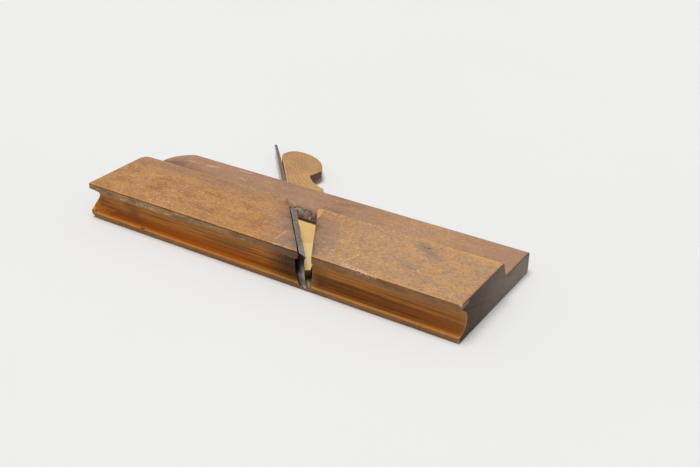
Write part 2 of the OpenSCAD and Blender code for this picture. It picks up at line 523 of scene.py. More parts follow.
def nick_list():
    """Small blows along the arrises: a middle, an inward direction, a reach and a depth for each."""
    random = np.random.default_rng(NICK_SEED)
    x = random.uniform(NICK_END, LENGTH - NICK_END, NICKS)
    pick = random.integers(0, len(NICKED_ARRISES), NICKS)
    reach = random.uniform(*NICK_REACH, NICKS)
    depth = random.uniform(*NICK_DEPTH, NICKS)
    places, ways = np.array(NICKED_ARRISES).transpose(1, 0, 2)
    middles = np.column_stack([x, places[pick]])
    inward = np.column_stack([0 * x, ways[pick] * math.sqrt(0.5)])
    scattered = (middles, inward, reach, depth)
    return [np.concatenate([many, few]) for many, few in zip(scattered, zip(*TOE_NICKS))]


def blows(points):
    """Moves the points in at every nick, by a bell curve of the distance from its middle."""
    middles, inward, reach, depth = nick_list()
    away = np.linalg.norm(points[..., None, :] - middles, axis=-1)
    return points + (depth * bump(away, 0, reach)) @ inward


def throat_cutter():
    """Space between the bed and the wear, from the cheek out through the wide face: a block of points whose x
    runs from the bed to the wear, whose y runs from below the sole to the sloping roof and whose z runs out
    of the face. The roof's outer edge is an arch. The bed stands a slit away from the iron's back near the
    wide face and is broken away at the mouth. The wear's upper corner has lost a shallow chip, and both
    walls flare a little where they meet the wide face."""
    z = THROAT_LEVELS
    share = np.linspace(0, 1, THROAT_ROWS)[:, None]
    across = np.linspace(-1, 1, THROAT_COLUMNS)[:, None, None]
    off = across - ARCH_TOP
    bed_fall = ROOF_ARCH[0] * (off / (1 + ARCH_TOP)) ** 2
    wear_fall = ROOF_ARCH[1] * (off / (1 - ARCH_TOP)) ** 2
    arch = np.where(off < 0, bed_fall, wear_fall) * smooth(z, MORTISE_HIGH, GRIP_THICK)
    y = -CUT_BELOW + share * (roof_level(z) - arch + CUT_BELOW)
    flare = FLARE * np.clip((z - FACE_FLARE_FROM) / FACE_FLARE_RUN, 0, None)
    slit = BED_SLIT * smooth(z, *SLIT_LEVELS)
    hollow_only = smooth(z, *BREAK_LOW) * (1 - BREAK_LOSS * smooth(z, *BREAK_HIGH))
    broken = MOUTH_BREAK * smooth(y - sole_level(z), *BREAK_RISE) * hollow_only
    chip = CHIP * smooth(y, *CHIP_RISE) * np.clip((z - CHIP_LOW) / (THICK - CHIP_LOW), 0, None)
    low_x = bed_line(y) - flare - slit - broken
    high_x = wear_line(y) + flare + chip
    x = low_x + (across + 1) / 2 * (high_x - low_x)
    return box_solid("throat_cutter", np.stack(np.broadcast_arrays(x, y, z), axis=-1))


def mortise_cutter():
    """Slot for the tang and the wedge from the roof of the throat out of the top. It is flared a little where
    it comes out, and its upper side is worn away from the wedge where it starts."""
    start = ROOF_Y - ROOF_SAG
    worn = np.linspace(start - MORTISE_OVERLAP, start + ROOF_GAP_RUN, 14)
    plain = np.linspace(start + ROOF_GAP_RUN + 2, HEIGHT - TOP_FLARE_RUN, 12)
    y = np.concatenate([worn, plain, [HEIGHT, HEIGHT + 1]])
    flare = FLARE * np.clip((y - HEIGHT + TOP_FLARE_RUN) / TOP_FLARE_RUN, 0, None)
    block = np.empty((2, len(y), 2, 3))
    block[0, ..., 0] = (bed_line(y) + MORTISE_IN - flare)[:, None]
    block[1, ..., 0] = (wear_line(y) - MORTISE_IN + flare)[:, None]
    block[..., 1] = y[:, None]
    block[:, :, 0, 2] = MORTISE_LOW - flare
    block[:, :, 1, 2] = MORTISE_HIGH + flare + ROOF_GAP * smooth(y, start + ROOF_GAP_RUN, start)
    return box_solid("mortise_cutter", block)


# A depth that is too large to count
FAR = 99.0

# Places that tell the stock's faces apart
SKIN = 0.6
THROAT_SPAN = (55, 205)
HOLLOW_RISE = (0.25, 9)
ROOF_FROM = 50
ROOF_BELOW = 13.4
CHEEK_BELOW = 3.2
RAW_FROM = 20
MORTISE_LEVELS = (2, 9.8)

# Tones of the stock: from where to where each comes in, or its middle and its reach
TOE_EDGE = 0.6
THROAT_GRIME = 4.5
FOOT_DIRT_AND_SHADE = 2.2
BED_STAIN = (19, 4)
WEAR_STAIN = (12, 0)
STAIN_LEVELS = (3, 7.5)
HEEL_BAND = (61, 8)
HEEL_BAND_RUN = (80, 10)
LIGHT_GRIP = (182, 30)
DIM_GRIP = (95, 40)
DARK_GRIP = (128, 14)
PALE_RUN = (112, 180)
PALE_GRIP_RUN = (130, 230)
WIDE_BAND = (43, 6)
WIDE_BAND_RUN = (125, 90)
LOW_LEVELS = (7.4, 4.8)
LOW_RUN = (150, 90)
HIGH_LEVELS = (8, 12)
TOE_LOW_LEVELS = (9, 6)
TOE_LOW_RUN = (120, 160)
TOE_LOW_END = (200, 240)
RIM_HIGHLIGHT_LEVELS = (1.7, 1.0)
BRINK_LEVELS = (20.8, 21.3)
BRINK_FADE = (165, 200)
FRONT_RUN = (130, 80)
LIT_LEDGE_RISE = (11, 7)
GOLD_TOE_RUN = (198, 214)
GOLD_HEEL_RUN = (110, 90)


def arris_distance(x, y, z, throat_depth, hollow_depth):
    """Distance to the nearest arris: the second smallest of the depths below the faces of the grip or of the
    wide part, because at an arris two of them are small at once."""
    open_throat = (y < ROOF_Y + ROOF_RUN) & (z > CHEEK + 0.2)
    throat = np.where(open_throat, throat_depth, FAR)
    side_x, side_y = HEEL_R - x, y - (HEIGHT - HEEL_R)
    round_heel = HEEL_R - np.hypot(side_x, side_y)
    outline = np.where((side_x > 0) & (side_y > 0), round_heel, np.minimum(x, HEIGHT - y))
    below = HEIGHT - GRIP_CHAMFER - y
    chamfers = [(below + z) / math.sqrt(2), (below + GRIP_THICK - z) / math.sqrt(2)]
    draw = STEP_EDGE + step_shift(x) - y
    riser = draw * math.cos(RISER_ANGLE) + (THICK - z) * math.sin(RISER_ANGLE)
    grip_depths = [z, GRIP_THICK - z, outline, LENGTH - x, *chamfers, throat]
    wide_depths = [z, THICK - z, y, np.where(y > 0, hollow_depth, FAR), riser, x, LENGTH - x, throat]
    second = [np.sort(np.abs(np.stack(depths)), axis=0)[1] for depths in (grip_depths, wide_depths)]
    return np.where(y > STEP_FOOT, *second)


def stock_masks(p, n):
    """Which face of the stock each point lies on, from its place and its face's normal, and where the stock
    is worn, dirty or pale, and where shade and highlights are painted on it."""
    x, y, z = p.T
    nx, ny, nz = n.T
    bed_depth = (bed_line(y) - x) * math.sin(PITCH)
    wear_depth = (x - wear_line(y)) * math.sin(WEAR)
    throat_depth = np.maximum(bed_depth, wear_depth)
    hollow_depth = np.hypot(y - HOLLOW_SINK, z - HOLLOW_Z) - HOLLOW_R
    arris = arris_distance(x, y, z, throat_depth, hollow_depth)

    # Faces
    middle = (x > THROAT_SPAN[0]) & (x < THROAT_SPAN[1])
    facing_up = smooth(nz, 0.75, 0.92)
    wide = facing_up * (z > THICK - 1)
    grip = facing_up * (np.abs(z - GRIP_THICK) < 0.9) * (y > STEP_FOOT - 0.5)
    end = smooth(np.abs(nx), 0.75, 0.95) * (np.minimum(x, LENGTH - x) < SKIN)
    lip = smooth(-ny, 0.5, 0.8) * (y < SKIN) * (1 - end)
    in_hollow = (y > HOLLOW_RISE[0]) & (y < HOLLOW_RISE[1]) & (np.abs(nx) < 0.5)
    hollow = smooth(hollow_depth, 0.5, 0.2) * in_hollow * (1 - end)
    walls = smooth(np.abs(nx), 0.4, 0.6) * middle
    roof = smooth(-ny, 0.4, 0.6) * (y > ROOF_FROM) * (z < ROOF_BELOW) * middle
    cheek = facing_up * (z < CHEEK_BELOW)
    raw = smooth(-nx, 0.12, 0.22) * (nz > 0.6) * (z > RAW_FROM) * middle
    past_roof = (nz < -0.5) | (y > roof_level(z) + 0.25)
    in_slot = (z > MORTISE_LEVELS[0]) & (z < MORTISE_LEVELS[1])
    in_mortise = in_slot & (y > ROOF_Y - 1) & (y < HEIGHT - 1)

    # Tones
    past_throat = np.hypot(np.clip(throat_depth, 0, None), np.clip(y - ROOF_TOP, 0, None))
    near_throat = np.exp(-past_throat / THROAT_GRIME)
    bed_stain = smooth(bed_depth, *BED_STAIN) * (bed_depth > -0.5)
    wear_stain = 0.38 * smooth(wear_depth, *WEAR_STAIN) * (wear_depth > -0.5)
    mouth = (bed_stain + wear_stain) * (0.45 + 0.55 * smooth(z, *STAIN_LEVELS))
    foot = np.hypot(y - STEP_FOOT - step_shift(x), z - GRIP_THICK)
    heel_band = bump(y, *HEEL_BAND) * smooth(x, *HEEL_BAND_RUN) * grip
    light_grip = bump(x, *LIGHT_GRIP)
    face_level = np.where(y > STEP_FOOT, GRIP_THICK, THICK)
    toe = near(LENGTH - x, face_level - z, TOE_EDGE)
    brink = smooth(-ny, 0.4, 0.7) * (y < SKIN) * smooth(z, *BRINK_LEVELS) * (1 - end)
    return {
        "wear": bump(arris, 0, 0.8) * (1 - 0.8 * toe),
        # Dirt round the throat; at the step's foot and beside the step at the heel it is dirt and painted
        # shade, where the riser's shadow falls on the grip
        "grime": np.maximum.reduce([
            0.82 * near_throat * (wide + 0.6 * grip),
            (0.6 - 0.45 * light_grip) * np.exp(-foot / FOOT_DIRT_AND_SHADE),
            0.75 * heel_band,
            0.2 * grip * bump(x, *DIM_GRIP),
            0.4 * grip * bump(x, *DARK_GRIP),
        ]),
        "pale": wide * smooth(x, *PALE_RUN) + grip * np.maximum(0.6 * smooth(x, *PALE_GRIP_RUN), light_grip),
        "raw": raw,
        "inside": np.maximum(walls, cheek) * (1 - raw),
        "roof": roof,
        # Painted light: the cheek's floor near the mouth, where light comes in, is painted lighter
        "lit_ledge": cheek * middle * smooth(y, *LIT_LEDGE_RISE),
        # Near-black inside the mortise: dirt and painted shade
        "deep": past_roof & (throat_depth < 0.3) & in_mortise,
        "end": np.maximum(end, 0.7 * smooth(np.abs(nx), 0.5, 0.9) * (1 - middle)),
        "toe": toe,
        "grip": np.maximum.reduce([
            grip * (1 - 0.6 * light_grip),
            0.6 * smooth(-nz, 0.6, 0.9),
            0.75 * smooth(ny, 0.4, 0.8),
        ]),
        "band": wide * bump(y, *WIDE_BAND) * smooth(x, *WIDE_BAND_RUN),
        "hollow": hollow,
        # Painted bounce light: deeper orange low in the hollow and on the lower lip, most towards the heel
        "low": smooth(z, *LOW_LEVELS) * (0.3 + 0.7 * smooth(x, *LOW_RUN)),
        # Painted shade: greyer high in the hollow, under the overhanging lip
        "high": smooth(z, *HIGH_LEVELS),
        "toe_low": smooth(z, *TOE_LOW_LEVELS) * smooth(x, *TOE_LOW_RUN) * (1 - 0.5 * smooth(x, *TOE_LOW_END)),
        # Painted highlight: golden along the hollow's lower rim
        "rim_highlight": hollow * (z < HOLLOW_Z) * smooth(y, *RIM_HIGHLIGHT_LEVELS),
        "lip": lip,
        "brink": brink * (1 - 0.6 * smooth(x, *BRINK_FADE)),
        "mouth": mouth * np.maximum(hollow, 0.8 * lip),
        "front": smooth(x, *FRONT_RUN),
        # Golden along the arrises: worn wood, partly a painted highlight where the rounded arrises and the
        # step's edge catch the light
        "golden": np.maximum.reduce([
            near(y, z - THICK, 1.0) * smooth(nz, 0.45, 0.75),
            0.6 * near(y, z - BLIND_LIP, 0.6),
            wide * bump(y, STEP_EDGE, 2.5) * smooth(x, *GOLD_TOE_RUN),
            0.5 * wide * bump(y, STEP_EDGE - 0.6, 0.7) * smooth(x, *GOLD_HEEL_RUN),
        ]),
    }


def make_stock(material):
    """Rings of the outline along the length, nicked at the arrises, with throat and mortise cut out."""
    x, inset = stock_stations()
    outline = stock_outline(x, inset)
    along = np.broadcast_to(x[:, None, None], outline.shape[:2] + (1,))
    piece = ring_solid("stock_body", blows(np.concatenate([along, outline], axis=-1)))
    cut_away(piece, [throat_cutter(), mortise_cutter()])
    add_masks(piece.data, stock_masks(*face_corners(piece.data)))
    shade(piece, WOOD_SHARP, material)
    return piece


# Wedge

WEDGE_CAP = 0.62
SIDE_RINGS = 5
PALE_AND_LIT_END = (36.8, 38.4)
DIRT_AND_SHADOW_LINE = (51.7, 53.6)
BURIED = (TOP_U - 8, TOP_U - 30)
MORTISE_DIRT = (TOP_U + 3, 6)
HAND_DIRT = (NOTCH_U + 8, 3)
HAND_REACH = 9
NECK_GOLD = (NOTCH_U - 14, 14)
NECK_REACH = 12


def arc_points(centre, radius, start, end, count):
    """Points spaced evenly on an arc between two angles."""
    angles = np.linspace(start, end, count)
    return centre + radius * np.stack([np.cos(angles), np.sin(angles)], -1)


def line_points(start, end, count):
    """Points spaced evenly on a line, with both ends."""
    return start + (end - start) * np.linspace(0, 1, count)[:, None]


def wedge_outline():
    """Side view of the wedge in lengths up the iron and distances from its face: straight back, the head's
    tight top arc and long front arc, the striking notch, the hollow neck and the tapered front down to the
    chamfered tip."""
    top = np.array([WEDGE_LENGTH - HEAD_TOP_R, BEARING_GAP + HEAD_TOP_R])
    middle_v = HEAD_DEPTH - HEAD_R
    drop = math.sqrt((HEAD_R - HEAD_TOP_R) ** 2 - (top[1] - middle_v) ** 2)
    middle = np.array([top[0] - drop, middle_v])
    join = math.atan2(*(top - middle)[::-1])
    notch = np.array([NOTCH_U, NECK_DEPTH])
    face = np.array([math.cos(NOTCH_ANGLE), math.sin(NOTCH_ANGLE)])
    off = notch - middle
    along = -off @ face + math.sqrt((off @ face) ** 2 - off @ off + HEAD_R ** 2)
    beak = notch + along * face
    beak_angle = math.atan2(*(beak - middle)[::-1])
    slope = math.tan(WEDGE_ANGLE)
    front_v = MOUTH * (math.sin(PITCH) + math.cos(PITCH) * slope) - BEARING_GAP
    turn = np.linspace(0, math.pi / 2, 400)
    neck = np.stack([NOTCH_U - NECK_R * np.sin(turn), NECK_DEPTH + NECK_R * (1 - np.cos(turn))], -1)
    neck = neck[neck[:, 1] < front_v + slope * neck[:, 0]]
    neck = neck[np.linspace(0, len(neck) - 1, 26).astype(int)]
    tip_front = WEDGE_TIP + TIP_RUN
    tip_v = front_v + slope * WEDGE_TIP - TIP_CHAMFER
    tip_middle = np.array([WEDGE_TIP + TIP_ROUND, tip_v - TIP_ROUND])
    front_end = np.array([tip_front, front_v + slope * tip_front])
    return np.concatenate([
        line_points(np.array([WEDGE_TIP, BEARING_GAP]), np.array([top[0], BEARING_GAP]), 60)[:-1],
        arc_points(top, HEAD_TOP_R, -math.pi / 2, join, 22)[:-1],
        arc_points(middle, HEAD_R, join, beak_angle, 40)[:-1],
        line_points(beak, notch, 8)[:-1],
        neck[:-1],
        line_points(neck[-1], front_end, 50),
        arc_points(tip_middle, TIP_ROUND, math.pi / 2, math.pi, 6),
    ])


def drawn_in(outline, inset):
    """A closed outline moved in by an inset, each point along the bisector of its two edges."""
    d_out = unit(np.roll(outline, -1, axis=0) - outline)
    n_out = -left_of(d_out)
    n_in = np.roll(n_out, 1, axis=0)
    share = 1 + np.sum(n_in * n_out, axis=-1, keepdims=True)
    return outline - inset * (n_in + n_out) / share


def wedge_masks(p, n):
    """How far down in the stock each point of the wedge lies, how near an arris, where it is dirty, and which
    faces cut across the grain: those whose normals run along the wedge."""
    x, y, z = p.T
    u, v = along_bed(x - FRONT_X, y)
    along = along_bed(n[:, 0], n[:, 1])[0]
    side = np.maximum(np.minimum(z - TANG_LOW, TANG_HIGH - z), 0)
    back = np.where(u < WEDGE_LENGTH - HEAD_TOP_R, np.abs(v - BEARING_GAP), FAR)
    flat = smooth(np.abs(n[:, 2]), 0.6, 0.9)
    mortise_dirt = 0.35 * bump(u, *MORTISE_DIRT)
    hand_dirt = 0.45 * near(u - HAND_DIRT[0], v - HAND_DIRT[1], HAND_REACH)
    return {
        "wear": np.maximum(0.5 * bump(side, 0, 0.6) * (1 - flat), near(back, side, 0.9)),
        "inside": smooth(u, *BURIED),
        "neck": near(u - NECK_GOLD[0], v - NECK_GOLD[1], NECK_REACH),
        "end": np.maximum(smooth(-along, 0.45, 0.8), 0.5 * smooth(along, 0.6, 0.95)),
        "grime": np.maximum(mortise_dirt, hand_dirt),
    }


def make_wedge(material):
    """Rings of the outline from one side to the other, drawn in along a quarter circle at both sides. The
    tip's end is undercut: its rings start further up the lower they lie."""
    outline = wedge_outline()
    turn = np.linspace(0, np.pi / 2, SIDE_RINGS)
    rise = WEDGE_ROUND * (1 - np.cos(turn))
    fall = WEDGE_ROUND * (1 - np.sin(turn))
    insets = np.concatenate([[WEDGE_CAP], fall, fall[::-1], [WEDGE_CAP]])
    levels = np.concatenate([[TANG_LOW], TANG_LOW + rise, TANG_HIGH - rise[::-1], [TANG_HIGH]])
    rings = []
    for inset, level in zip(insets, levels):
        u, v = drawn_in(outline, inset).T
        below = (TANG_HIGH - level) / (TANG_HIGH - TANG_LOW)
        u = u + TIP_UNDERCUT * below * smooth(u, WEDGE_TIP + UNDERCUT_RUN, WEDGE_TIP)
        rings.append(on_bed(u, v, level)[::-1])
    piece = ring_solid("wedge_body", np.stack(rings))
    add_masks(piece.data, wedge_masks(*face_corners(piece.data)))
    shade(piece, WOOD_SHARP, material)
    return piece


# Iron

BLADE_ROWS = 14
WIDTH_ROWS = 61
LAYERS = 4

# Tones of the iron: from where to where each comes in
BEVEL_HIGHLIGHT = (11, 5)
CORNER_HIGHLIGHT = (4.5, 2.5)
BLADE_HIGHLIGHT = (16, 2)
LOW_SHADE = (2.5, 6.5)
BACK_SHADE = (0.6, 1.6)
HIGH_SHADE = (8, 12)
OUT_RUN = (TOP_U - 4, TOP_U + 4)
BACK_HIGHLIGHT_RUN = (TOP_U, TOP_U + 8)


def iron_edges(u):
    """Lowest and highest side of the iron at length u: the wide blade, the sloping shoulder and the pointed
    tang, joined by straight lines."""
    middle = (TANG_LOW + TANG_HIGH) / 2
    half = TANG_TOP_WIDTH / 2
    stops = [0, BLADE_LENGTH, SHOULDER_U, IRON_LENGTH - TANG_POINT, IRON_LENGTH]
    low = np.interp(u, stops, [BLADE_LOW, BLADE_LOW, TANG_LOW, TANG_LOW, middle - half])
    high = np.interp(u, stops, [BLADE_HIGH, BLADE_HIGH, TANG_HIGH, TANG_HIGH, middle + half])
    return low, high


def edge_start(z):
    """Length at which the cutting edge lies at height z: it follows the sole, runs out straight to the
    blade's outer corner and stands proud a little."""
    start = BLADE_HIGH - CORNER_WIDTH
    run_out = sole_level(start) * np.clip((BLADE_HIGH - z) / CORNER_WIDTH, 0, None)
    return (np.where(z < start, sole_level(z), run_out) - EDGE_OUT) / math.sin(PITCH)


def iron_block():
    """Points of the iron by length, width and thickness. Below the blade's end the rows run from the ground
    edge, which follows the sole, so that each layer behind the face starts further up along the bevel."""
    across = np.linspace(0, 1, WIDTH_ROWS)
    depth = np.linspace(0, 1, LAYERS)
    z = BLADE_LOW + across * (BLADE_HIGH - BLADE_LOW)
    start = edge_start(z)[:, None] + depth * IRON_THICK / math.tan(BEVEL)
    rows = np.linspace(0, 1, BLADE_ROWS)[:, None, None]
    blade_u = start + rows * (BLADE_LENGTH - start)
    blade_z = np.broadcast_to(z[:, None], blade_u.shape)
    blade_w = np.broadcast_to(depth * IRON_THICK, blade_u.shape)
    upper = np.concatenate([
        np.linspace(BLADE_LENGTH, SHOULDER_U, 7)[1:],
        np.linspace(SHOULDER_U, TOP_U, 20)[1:],
        np.linspace(TOP_U, IRON_LENGTH - TANG_POINT, 20)[1:],
        np.linspace(IRON_LENGTH - TANG_POINT, IRON_LENGTH, 8)[1:],
    ])
    low, high = iron_edges(upper)
    face_w = (IRON_THICK - TANG_TOP_THICK) * np.clip((upper - TOP_U) / IRON_RISE, 0, 1)
    shape = (len(upper),) + start.shape
    upper_u = np.broadcast_to(upper[:, None, None], shape)
    upper_z = np.broadcast_to((low[:, None] + across * (high - low)[:, None])[..., None], shape)
    upper_w = np.broadcast_to(face_w[:, None, None] + depth * (IRON_THICK - face_w)[:, None, None], shape)
    u = np.concatenate([blade_u, upper_u])
    z = np.concatenate([blade_z, upper_z])
    w = np.concatenate([blade_w, upper_w])
    return on_bed(u, -w, z)


def iron_masks(p, n):
    """Where the iron is rubbed bright at its arrises, where it is ground, where painted highlights lie low on
    the bevel and painted shade higher up, where it stands out of the stock, and which face of the tang there
    is its back, which takes a painted reflection."""
    x, y, z = p.T
    u, v = along_bed(x - FRONT_X, y)
    up, out = along_bed(n[:, 0], n[:, 1])
    low, high = iron_edges(u)
    side = np.minimum(z - low, high - z)
    face = np.minimum(-v, IRON_THICK + v)
    ground = smooth(u - edge_start(z) + v / math.tan(BEVEL), 0.4, 0.1) * smooth(-up, 0.12, 0.3)
    bevel_highlight = ground * (0.6 * smooth(z, *BEVEL_HIGHLIGHT) + 0.4 * smooth(z, *CORNER_HIGHLIGHT))
    low_shade = smooth(z, *LOW_SHADE) * smooth(-v, *BACK_SHADE)
    return {
        "wear": bump(np.maximum(side, face), 0, 0.45),
        # The ground bevel's bright steel, with a painted highlight towards its low end and on the blade's
        # side near the edge
        "ground": bevel_highlight + 0.25 * smooth(u, *BLADE_HIGHLIGHT) * (n[:, 2] > 0.5),
        # Painted shade on the ground bevel above its low end, where little light reaches
        "dark": ground * np.maximum(low_shade, 0.7 * smooth(z, *HIGH_SHADE)),
        "out": smooth(u, *OUT_RUN),
        # Painted reflection on the tang's back
        "back": smooth(-out, 0.7, 0.9) * smooth(u, *BACK_HIGHLIGHT_RUN),
    }


def make_iron(material):
    """The block of points as a solid, with its arrises rounded by a bevel."""
    piece = box_solid("iron_body", iron_block()[:, ::-1])
    add_masks(piece.data, iron_masks(*face_corners(piece.data)))
    edges = piece.modifiers.new("worn_edges", "BEVEL")
    edges.width = IRON_ROUND * MM
    edges.segments = 2
    edges.limit_method = "ANGLE"
    edges.angle_limit = math.radians(IRON_SHARP)
    shade(piece, IRON_SHARP, material)
    return piece


# Shader helpers

NUMBER_OPERATIONS = ("LENGTH", "DISTANCE", "DOT_PRODUCT")


def tint(screen):
    """Colour from screen values of 0 to 255, as the shaders take it."""
    share = np.array(screen) / 255
    light = np.where(share <= 0.04045, share / 12.92, ((share + 0.055) / 1.055) ** 2.4)
    return (*light.tolist(), 1.0)


def connect(tree, socket, value):
    """Links a socket to another one or sets it to a value."""
    if isinstance(value, bpy.types.NodeSocket):
        tree.links.new(value, socket)
    else:
        socket.default_value = value


def add(tree, kind, inputs, **settings):
    """New node with its settings; each input is linked to a socket or set to a value."""
    node = tree.nodes.new(kind)
    for name, value in settings.items():
        setattr(node, name, value)
    for key, value in inputs.items():
        connect(tree, node.inputs[key], value)
    return node


def math_node(tree, operation, *values):
    """Arithmetic on numbers."""
    return add(tree, "ShaderNodeMath", dict(enumerate(values)), operation=operation).outputs[0]


def vector_node(tree, operation, *values):
    """Arithmetic on vectors; a length, a distance and a dot product come out as numbers."""
    node = add(tree, "ShaderNodeVectorMath", dict(enumerate(values)), operation=operation)
    return node.outputs["Value" if operation in NUMBER_OPERATIONS else "Vector"]


def scaled(tree, vector, factor):
    """A vector times a number."""
    return add(tree, "ShaderNodeVectorMath", {0: vector, "Scale": factor}, operation="SCALE").outputs[0]


def turn_about_z(tree, vector, angle):
    """The place turned about the Z axis."""
    inputs = {"Vector": vector, "Angle": angle}
    return add(tree, "ShaderNodeVectorRotate", inputs, rotation_type="Z_AXIS").outputs[0]


def axis_of(tree, vector, axis):
    """One of a vector's three numbers."""
    return add(tree, "ShaderNodeSeparateXYZ", {0: vector}).outputs[axis]


def mix_value(tree, factor, first, second):
    """From the first number to the second by a factor."""
    return add(tree, "ShaderNodeMix", {0: factor, 2: first, 3: second}, data_type="FLOAT").outputs[0]


def mask(tree, source):
    """A mask's socket. The source is the socket itself, the name of one of the piece's own masks, or a pair:
    either of them and the least value that the mask falls to."""
    if isinstance(source, tuple):
        inner, least = source
        return mix_value(tree, mask(tree, inner), least, 1.0)
    if isinstance(source, str):
        return add(tree, "ShaderNodeAttribute", {}, attribute_name=source).outputs["Fac"]
    return source


def mix_colour(tree, factor, *colours):
    """From one colour to another by a factor; each colour is a socket or screen values."""
    first, second = (tint(colour) if isinstance(colour, tuple) else colour for colour in colours)
    return add(tree, "ShaderNodeMix", {0: factor, 6: first, 7: second}, data_type="RGBA").outputs[2]


def paint(tree, base, *coats):
    """Lays coats over the base in turn. A coat is a colour, an amount and the masks that the amount is
    multiplied by."""
    for colour, amount, *masks in coats:
        for source in masks:
            amount = math_node(tree, "MULTIPLY", amount, mask(tree, source))
        base = mix_colour(tree, amount, base, colour)
    return base


def between(tree, value, low, high, low_out=0.0, high_out=1.0):
    """Goes from low_out to high_out as the value goes from low to high."""
    inputs = {0: value, 1: low, 2: high, 3: low_out, 4: high_out}
    return add(tree, "ShaderNodeMapRange", inputs, interpolation_type="SMOOTHSTEP").outputs[0]


def noise(tree, vector, stretch, detail=3.0, rough=0.5):
    """Noise whose features are about 1 / stretch metres long along each axis."""
    place = vector_node(tree, "MULTIPLY", vector, stretch)
    inputs = {"Vector": place, "Scale": 1.0, "Detail": detail, "Roughness": rough}
    return add(tree, "ShaderNodeTexNoise", inputs).outputs["Fac"]


def blotches(tree, vector, stretch, limits, detail, rough):
    """Noise that is cut off below the first limit and full above the second."""
    return between(tree, noise(tree, vector, stretch, detail, rough), *limits)


def shaken(tree, vector, stretch, reach):
    """The place moved about by noise within a reach in metres, so that marks get ragged outlines."""
    place = vector_node(tree, "MULTIPLY", vector, stretch)
    inputs = {"Vector": place, "Scale": 1.0, "Detail": 2.0}
    colour = add(tree, "ShaderNodeTexNoise", inputs).outputs["Color"]
    centred = vector_node(tree, "SUBTRACT", colour, (0.5, 0.5, 0.5))
    return vector_node(tree, "ADD", vector, scaled(tree, centred, reach))


def object_place(tree):
    """Object coordinates."""
    return add(tree, "ShaderNodeTexCoord", {}).outputs["Object"]


def new_group(name, inputs, outputs):
    """Empty shader group with its sockets; returns its tree, its inner inputs and its inner outputs."""
    tree = bpy.data.node_groups.new(name, "ShaderNodeTree")
    for label, kind in inputs.items():
        tree.interface.new_socket(label, in_out="INPUT", socket_type="NodeSocket" + kind)
    for label in outputs:
        tree.interface.new_socket(label, in_out="OUTPUT", socket_type="NodeSocketFloat")
    return tree, tree.nodes.new("NodeGroupInput").outputs, tree.nodes.new("NodeGroupOutput").inputs


def put_out(tree, out, **values):
    """Links a group's results to its outputs of the same names and returns the group."""
    for label, value in values.items():
        tree.links.new(value, out[label])
    return tree


def use_group(tree, group, **inputs):
    """Places a group with its inputs, whose names have _ for a space, and returns its outputs."""
    named = {key.replace("_", " "): value for key, value in inputs.items()}
    return add(tree, "ShaderNodeGroup", named, node_tree=group).outputs


def new_material(name):
    """New material with its tree and its shader."""
    material = bpy.data.materials.new(name)
    material.use_nodes = True
    return material, material.node_tree, material.node_tree.nodes["Principled BSDF"]


def set_shader(tree, shader, **inputs):
    """Links or sets the shader's inputs, whose names have _ for a space."""
    for key, value in inputs.items():
        connect(tree, shader.inputs[key.replace("_", " ")], value)


def raised(tree, height, distance):
    """Normal of a surface that rises by the height times a distance in metres."""
    return add(tree, "ShaderNodeBump", {"Height": height, "Distance": distance, "Strength": 1.0}).outputs[0]


# Shared effects

def beech_figure_group():
    """Figure of beech with its grain along X: growth rings round a pith, dark and light ray flecks, fine
    fibre and mottle. The stretch weighs each axis in the rings' distance from the pith."""
    inputs = {"Vector": "Vector", "Pith": "Vector", "Stretch": "Vector", "Ring Spacing": "Float"}
    outputs = ["Rings", "Flecks", "Glints", "Fibre", "Mottle"]
    tree, given, out = new_group("beech_figure", inputs, outputs)
    place = given["Vector"]
    wave = noise(tree, place, (9, 45, 45), 2.0)
    offset = vector_node(tree, "SUBTRACT", place, given["Pith"])
    across = vector_node(tree, "MULTIPLY", offset, given["Stretch"])
    bent = math_node(tree, "MULTIPLY_ADD", wave, 0.012, vector_node(tree, "LENGTH", across))
    share = math_node(tree, "FRACT", math_node(tree, "DIVIDE", bent, given["Ring Spacing"]))
    moved = vector_node(tree, "ADD", place, (0.31, 0.17, 0.23))
    return put_out(
        tree, out,
        Rings=math_node(tree, "POWER", share, 2.2),
        Flecks=blotches(tree, place, (560, 1100, 1100), (0.5, 0.66), 2.0, 0.55),
        Glints=blotches(tree, moved, (520, 1000, 1000), (0.54, 0.7), 2.0, 0.55),
        Fibre=noise(tree, place, (70, 3200, 3200), 3.0, 0.6),
        Mottle=noise(tree, place, (45, 85, 85), 5.0, 0.62),
    )


def edge_wear_group():
    """Wear along the arrises: the edge mask, broken up by coarse and fine noise."""
    inputs = {"Vector": "Vector", "Edge": "Float", "Amount": "Float"}
    tree, given, out = new_group("edge_wear", inputs, ["Worn"])
    coarse = noise(tree, given["Vector"], (60, 90, 90), 3.0, 0.6)
    fine = noise(tree, given["Vector"], (500, 900, 900), 3.0, 0.6)
    broken = math_node(tree, "MULTIPLY_ADD", fine, 0.45, coarse)
    pushed = math_node(tree, "MULTIPLY", broken, given["Edge"])
    low = math_node(tree, "SUBTRACT", 0.95, given["Amount"])
    high = math_node(tree, "ADD", low, 0.3)
    return put_out(tree, out, Worn=between(tree, pushed, low, high))


def dirt_group():
    """Dirt that lies where the dirt mask is high, blotched and streaked along the grain."""
    inputs = {"Vector": "Vector", "Dirt": "Float", "Amount": "Float"}
    tree, given, out = new_group("old_dirt", inputs, ["Dirty"])
    blotch = noise(tree, given["Vector"], (110, 190, 190), 5.0, 0.65)
    fine = noise(tree, given["Vector"], (500, 1100, 1100), 2.0)
    uneven = math_node(tree, "MULTIPLY_ADD", fine, 0.5, blotch)
    lowered = math_node(tree, "SUBTRACT", uneven, 0.85)
    spread = math_node(tree, "MULTIPLY_ADD", given["Dirt"], 0.9, lowered)
    shown = between(tree, spread, 0.0, 0.9)
    return put_out(tree, out, Dirty=math_node(tree, "MULTIPLY", shown, given["Amount"]))


